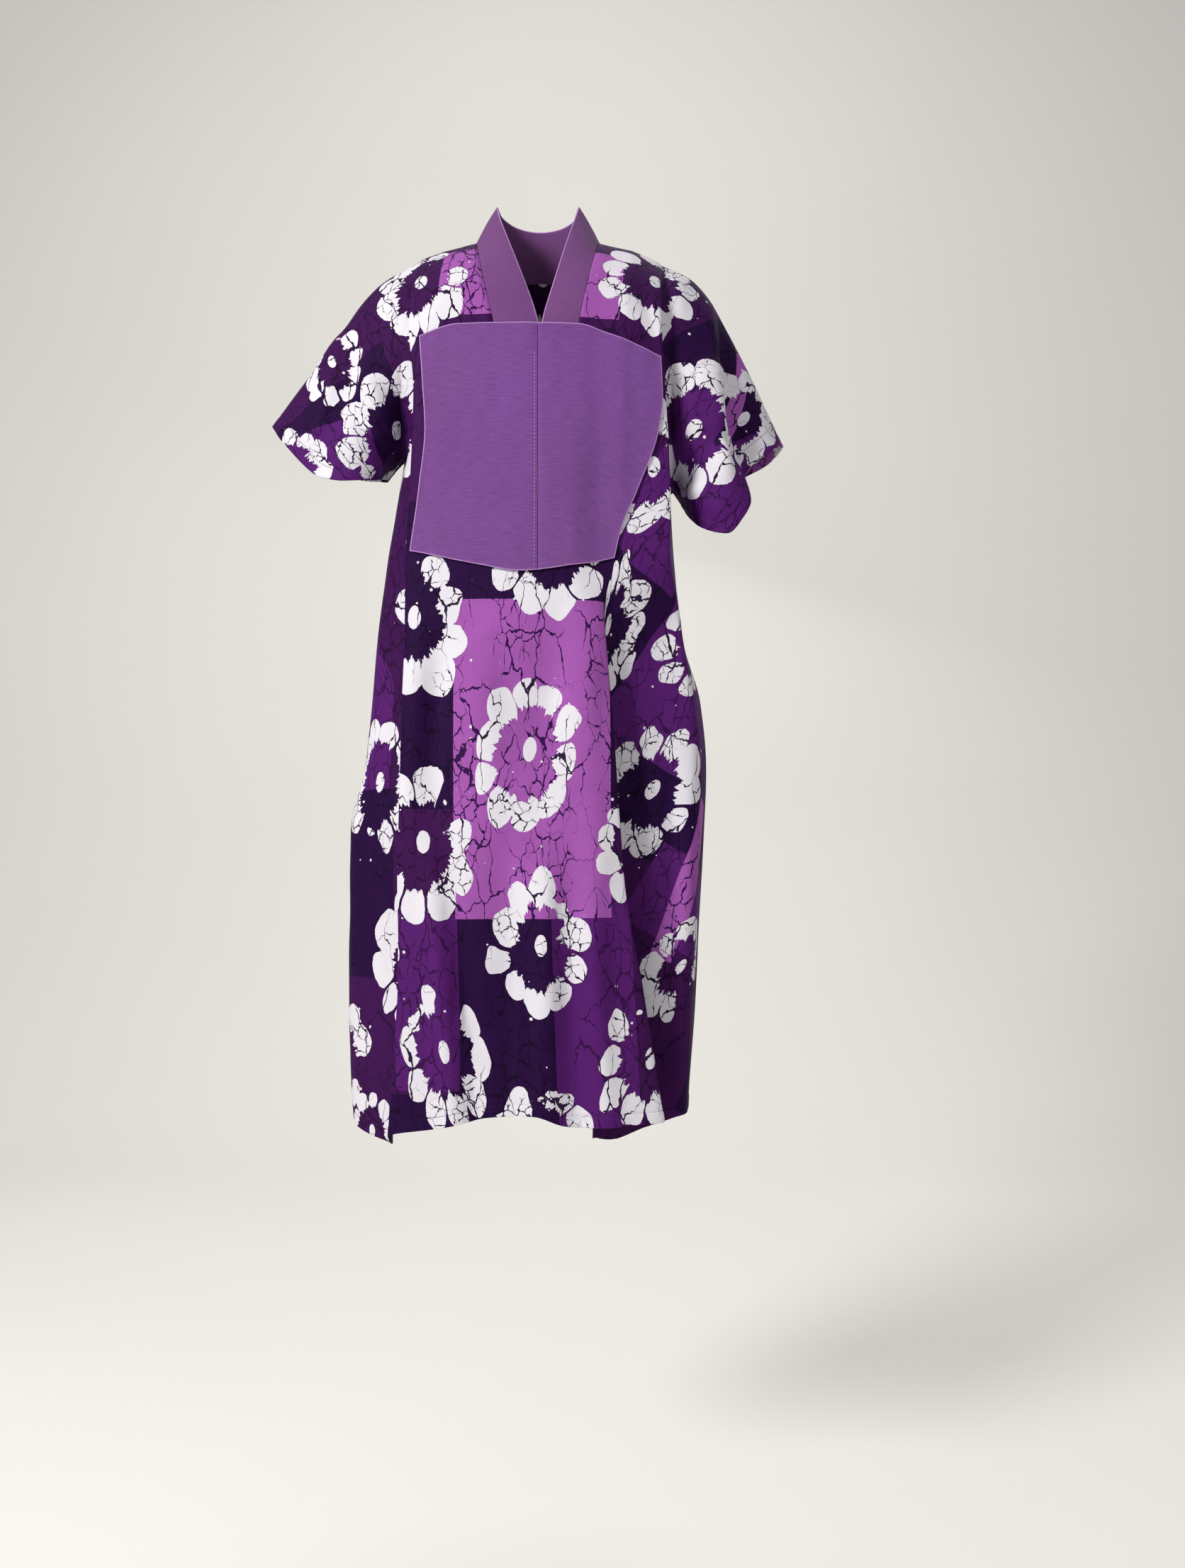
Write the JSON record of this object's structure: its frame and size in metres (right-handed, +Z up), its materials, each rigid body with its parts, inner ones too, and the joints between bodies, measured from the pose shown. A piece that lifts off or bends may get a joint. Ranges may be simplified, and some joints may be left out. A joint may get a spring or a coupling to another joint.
{
  "type": "batik boubou robe",
  "caption": "Knee-length hollow boubou robe in worn form: batik front and back with half-sleeves in one, standing collar band and plain bib.",
  "frame": {"origin": "midway between the two shoulder-neck points, at the middle of the robe's depth, where the wearer's shoulders hold it", "axes": "+Z up towards the neck, -Y the front, +X the wearer's left"},
  "size_m": [0.6269, 0.2755, 1.132],
  "materials": {
    "batik": "matte",
    "orchid": "matte"
  },
  "bodies": {
    "root": {"front_panel": "batik", "back_panel": "batik", "collar_band": "orchid", "bib_right": "orchid", "bib_left": "orchid"}
  },
  "joints": []
}
